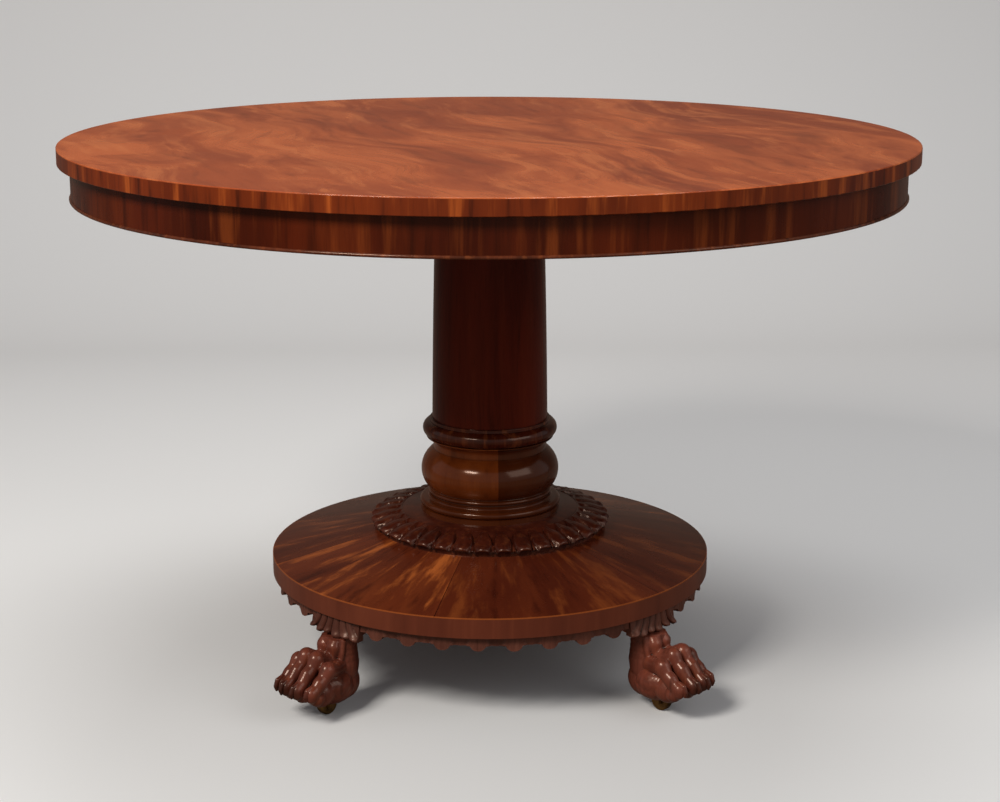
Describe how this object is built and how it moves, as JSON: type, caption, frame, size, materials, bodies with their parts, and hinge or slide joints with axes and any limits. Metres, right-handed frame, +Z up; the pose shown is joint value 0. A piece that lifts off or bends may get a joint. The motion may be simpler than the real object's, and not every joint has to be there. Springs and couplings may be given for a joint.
{
  "type": "round pedestal table",
  "caption": "Round tilt-top pedestal table with a veneered top and frieze on a turned column, a conical platform with a carved border, and lion-paw feet over castors.",
  "frame": {"origin": "on the floor under the column's axis", "axes": "+Z up; feet at 45 degrees to X and Y; the hinge runs along X on the +Y side, so the -Y edge of the top lifts"},
  "size_m": [1.15, 1.15, 0.74],
  "materials": {
    "flame_veneer": "french polished",
    "cross_banding": "french polished",
    "frieze_veneer": "french polished",
    "turned_mahogany": "french polished",
    "column_mahogany": "french polished",
    "bulb_mahogany": "french polished",
    "carved_mahogany": "polished carving",
    "border_mahogany": "waxed carving",
    "platform_veneer": "french polished",
    "platform_banding": "french polished",
    "carcase_wood": "unpolished",
    "wedge_wood": "unpolished",
    "brass": "old, worn bright",
    "iron": "plain"
  },
  "bodies": {
    "root": {"block": "carcase_wood", "pivot_pin_left": "brass", "pivot_pin_right": "brass", "column_shaft": "column_mahogany", "tenon_wedges": "wedge_wood", "collar_ring": "turned_mahogany", "column_base": "bulb_mahogany", "leaf_disc": "carved_mahogany", "platform_board": "carcase_wood", "platform_rise": "carcase_wood", "platform_veneers": "platform_veneer", "platform_edge_band": "platform_banding", "catch_keeper": "brass", "keeper_screws": "brass", "foot_dowels": "wedge_wood", "castor_screws": "brass", "leaf_border_1": "border_mahogany", "leaf_border_2": "border_mahogany", "leaf_border_3": "border_mahogany", "leaf_border_4": "border_mahogany", "foot_bracket_1": "border_mahogany", "foot_bracket_2": "border_mahogany", "foot_bracket_3": "border_mahogany", "foot_bracket_4": "border_mahogany", "paw_foot_1": "carved_mahogany", "paw_foot_2": "carved_mahogany", "paw_foot_3": "carved_mahogany", "paw_foot_4": "carved_mahogany", "castor_plate_1": "brass", "castor_plate_2": "brass", "castor_plate_3": "brass", "castor_plate_4": "brass"},
    "top": {"top_board": "carcase_wood", "top_veneer": "flame_veneer", "edge_banding": "cross_banding", "frieze_ring": "carcase_wood", "frieze_veneer": "frieze_veneer", "frieze_bead": "turned_mahogany", "bearer_left": "carcase_wood", "bearer_right": "carcase_wood", "bearer_screws": "iron", "glue_blocks": "carcase_wood", "catch_case": "brass", "catch_screws": "brass"},
    "bolt": {"catch_bolt": "brass"},
    "castor_1": {"castor_fork_1": "brass", "castor_axle_1": "brass"},
    "wheel_1": {"castor_wheel_1": "brass"},
    "castor_2": {"castor_fork_2": "brass", "castor_axle_2": "brass"},
    "wheel_2": {"castor_wheel_2": "brass"},
    "castor_3": {"castor_fork_3": "brass", "castor_axle_3": "brass"},
    "wheel_3": {"castor_wheel_3": "brass"},
    "castor_4": {"castor_fork_4": "brass", "castor_axle_4": "brass"},
    "wheel_4": {"castor_wheel_4": "brass"}
  },
  "joints": [
    {"name": "top_tilt", "type": "hinge", "parent": "root", "child": "top", "pos_m": [0, 0.135, 0.697], "axis": [-1, 0, 0], "range_deg": [0, 90]},
    {"name": "bolt_slide", "type": "slide", "parent": "top", "child": "bolt", "axis": [0, 1, 0], "range_m": [0, 0.012]},
    {"name": "castor_1_swivel", "type": "hinge", "parent": "root", "child": "castor_1", "pos_m": [0.21779, 0.21779, 0.03], "axis": [0, 0, 1], "continuous": true},
    {"name": "wheel_1_roll", "type": "hinge", "parent": "castor_1", "child": "wheel_1", "pos_m": [0.22345, 0.22345, 0.014], "axis": [-0.7071, 0.7071, 0], "continuous": true},
    {"name": "castor_2_swivel", "type": "hinge", "parent": "root", "child": "castor_2", "pos_m": [-0.21779, 0.21779, 0.03], "axis": [0, 0, 1], "continuous": true},
    {"name": "wheel_2_roll", "type": "hinge", "parent": "castor_2", "child": "wheel_2", "pos_m": [-0.22345, 0.22345, 0.014], "axis": [-0.7071, -0.7071, 0], "continuous": true},
    {"name": "castor_3_swivel", "type": "hinge", "parent": "root", "child": "castor_3", "pos_m": [-0.21779, -0.21779, 0.03], "axis": [0, 0, 1], "continuous": true},
    {"name": "wheel_3_roll", "type": "hinge", "parent": "castor_3", "child": "wheel_3", "pos_m": [-0.22345, -0.22345, 0.014], "axis": [0.7071, -0.7071, 0], "continuous": true},
    {"name": "castor_4_swivel", "type": "hinge", "parent": "root", "child": "castor_4", "pos_m": [0.21779, -0.21779, 0.03], "axis": [0, 0, 1], "continuous": true},
    {"name": "wheel_4_roll", "type": "hinge", "parent": "castor_4", "child": "wheel_4", "pos_m": [0.22345, -0.22345, 0.014], "axis": [0.7071, 0.7071, 0], "continuous": true}
  ]
}
